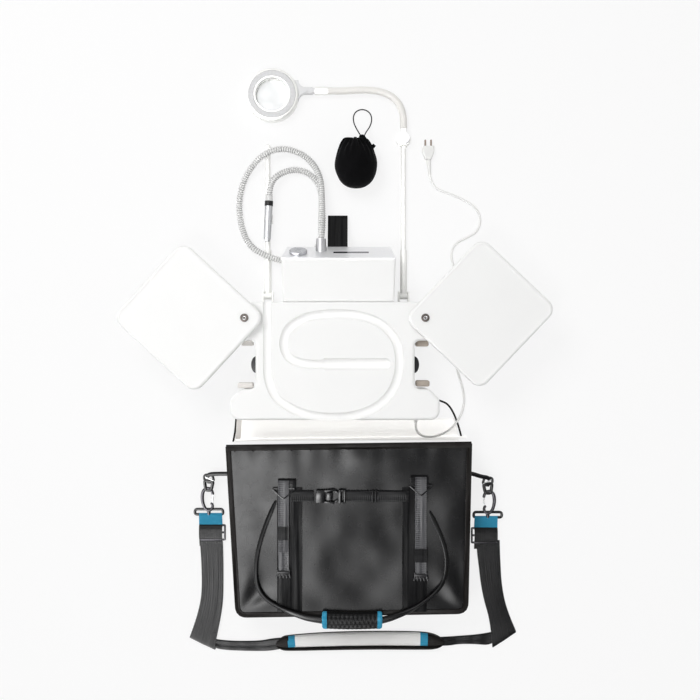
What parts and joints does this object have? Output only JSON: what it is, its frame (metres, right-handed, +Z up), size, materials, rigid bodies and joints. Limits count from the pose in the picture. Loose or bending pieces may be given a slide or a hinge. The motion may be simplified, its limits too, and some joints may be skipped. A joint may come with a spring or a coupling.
{
  "type": "portable manicure table",
  "caption": "Portable manicure and foot care table: channelled worktop on a low base, swivelling trays, suction unit with hose, folding magnifier lamp, pouch and carry bag.",
  "frame": {"origin": "the underside of the base's centre foot, under the middle of the worktop", "axes": "+Z up from the surface the set lies on, +X to the right of the person who works at the table, +Y away from that person, from the bag towards the lamp"},
  "size_m": [0.9075, 1.288, 0.1343],
  "materials": {
    "white_plastic": "smooth thermoformed white sheet",
    "unit_white": "fine-grained white moulding",
    "fascia_silver": "brushed silver panel",
    "display_black": "dark glossy window",
    "knob_chrome": "satin chrome",
    "steel": "brushed",
    "black_plastic": "moulded, fine grain",
    "rubber": "matt",
    "hose_grey": "soft corrugated",
    "lead_white": "smooth jacket",
    "lamp_white": "smooth cream-white enamel",
    "lamp_plastic": "smooth white",
    "ring_grey": "frosted light grey",
    "lens_glass": "clear",
    "board_green": "solder mask",
    "filter_felt": "pleated felt",
    "tarpaulin": "satin black coated fabric",
    "webbing": "ribbed black webbing",
    "lining": "pale smooth lining",
    "pad_white": "white coated fabric with turquoise ends",
    "velvet": "black velour",
    "brass": "dull"
  },
  "bodies": {
    "root": {"base_tub": "white_plastic", "worktop_panel": "white_plastic", "base_plate": "unit_white", "rubber_feet": "rubber", "housing_screws": "steel", "pivot_posts": "black_plastic", "pivot_screws": "steel", "unit_front_shell": "unit_white", "unit_rear_shell": "unit_white", "control_fascia": "fascia_silver", "display_window": "display_black", "knob_encoder": "black_plastic", "hose_port": "hose_grey", "suction_motor": "steel", "filter_cartridge": "filter_felt", "power_supply": "black_plastic", "control_board": "board_green", "carry_strap": "webbing", "pole_brackets": "steel", "hinge_pins": "steel", "rest_pole": "lamp_white", "suction_hose": "hose_grey", "handpiece_collar": "hose_grey", "handpiece_ring": "black_plastic", "handpiece_body": "steel", "handpiece_saddle": "lamp_plastic", "lead_gland": "lead_white", "mains_lead": "lead_white", "plug_body": "lead_white", "plug_pins": "brass"},
    "tray_left": {"tray_left": "white_plastic"},
    "tray_right": {"tray_right": "white_plastic"},
    "knob": {"speed_knob": "knob_chrome"},
    "rocker": {"power_rocker": "black_plastic"},
    "fan": {"fan_impeller": "black_plastic"},
    "latch_left": {"hand_latch_left": "black_plastic"},
    "latch_right": {"hand_latch_right": "black_plastic"},
    "lamp_lower": {"lamp_sleeve": "lamp_white"},
    "lamp_upper": {"lamp_pole": "lamp_white", "elbow_clamp": "lamp_plastic"},
    "arm_lock": {"clamp_knob": "knob_chrome"},
    "arm": {"arm_hub": "lamp_plastic", "lamp_arm": "lamp_white", "arm_ferrule": "lamp_plastic"},
    "head": {"head_bracket": "ring_grey", "lamp_housing": "lamp_plastic", "led_board": "board_green", "led_diffuser": "ring_grey", "magnifier_lens": "lens_glass"},
    "bag": {"bag_shell": "tarpaulin", "bag_lining": "lining", "bag_webbing": "webbing", "bag_buckle": "black_plastic", "bag_handle": "webbing", "bag_grip": "webbing", "shoulder_strap": "webbing", "shoulder_pad": "pad_white", "strap_hardware": "black_plastic"},
    "pouch": {"pouch_body": "velvet", "pouch_cord": "velvet"}
  },
  "joints": [
    {"name": "tray_left_swivel", "type": "hinge", "parent": "root", "child": "tray_left", "pos_m": [-0.188, 0.09, 0.117], "axis": [0, 0, 1], "range_deg": [-20, 132.5]},
    {"name": "tray_right_swivel", "type": "hinge", "parent": "root", "child": "tray_right", "pos_m": [0.188, 0.09, 0.117], "axis": [0, 0, 1], "range_deg": [-136.5, 20]},
    {"name": "knob_turn", "type": "hinge", "parent": "root", "child": "knob", "pos_m": [-0.0792, 0.23086, 0.07727], "axis": [0, 0.8944, 0.4472], "range_deg": [-280, 0]},
    {"name": "rocker_tilt", "type": "hinge", "parent": "root", "child": "rocker", "pos_m": [0.12432, 0.165, 0.032], "axis": [0, 0, 1], "range_deg": [-6, 6]},
    {"name": "fan_spin", "type": "hinge", "parent": "root", "child": "fan", "pos_m": [0.02, 0.16, 0.038], "axis": [1, 0, 0], "continuous": true},
    {"name": "latch_left_press", "type": "slide", "parent": "root", "child": "latch_left", "axis": [1, 0, 0], "range_m": [0, 0.004], "stiffness_N_per_m": 400, "springref_m": -0.001},
    {"name": "latch_right_press", "type": "slide", "parent": "root", "child": "latch_right", "axis": [-1, 0, 0], "range_m": [0, 0.004], "stiffness_N_per_m": 400, "springref_m": -0.001},
    {"name": "lamp_fold", "type": "hinge", "parent": "root", "child": "lamp_lower", "pos_m": [0.15, 0.143, 0.0082], "axis": [1, 0, 0], "range_deg": [0, 90]},
    {"name": "lamp_telescope", "type": "slide", "parent": "lamp_lower", "child": "lamp_upper", "axis": [0, 1, 0], "range_m": [-0.04, 0]},
    {"name": "arm_turn", "type": "hinge", "parent": "lamp_upper", "child": "arm", "pos_m": [0.15, 0.489, 0.013], "axis": [0, 0, 1], "range_deg": [-30, 0]},
    {"name": "arm_lock_turn", "type": "hinge", "parent": "lamp_upper", "child": "arm_lock", "pos_m": [0.15, 0.489, 0.02], "axis": [0, 0, 1], "range_deg": [-180, 180]},
    {"name": "head_tilt", "type": "hinge", "parent": "arm", "child": "head", "pos_m": [-0.0451, 0.595, 0.013], "axis": [1, 0, 0], "range_deg": [-60, 60]},
    {"name": "bag_pull_away", "type": "slide", "parent": "root", "child": "bag", "axis": [0, -1, 0], "range_m": [0, 0.3]},
    {"name": "pouch_lift", "type": "slide", "parent": "root", "child": "pouch", "axis": [0, 0, 1], "range_m": [0, 0.3]}
  ]
}
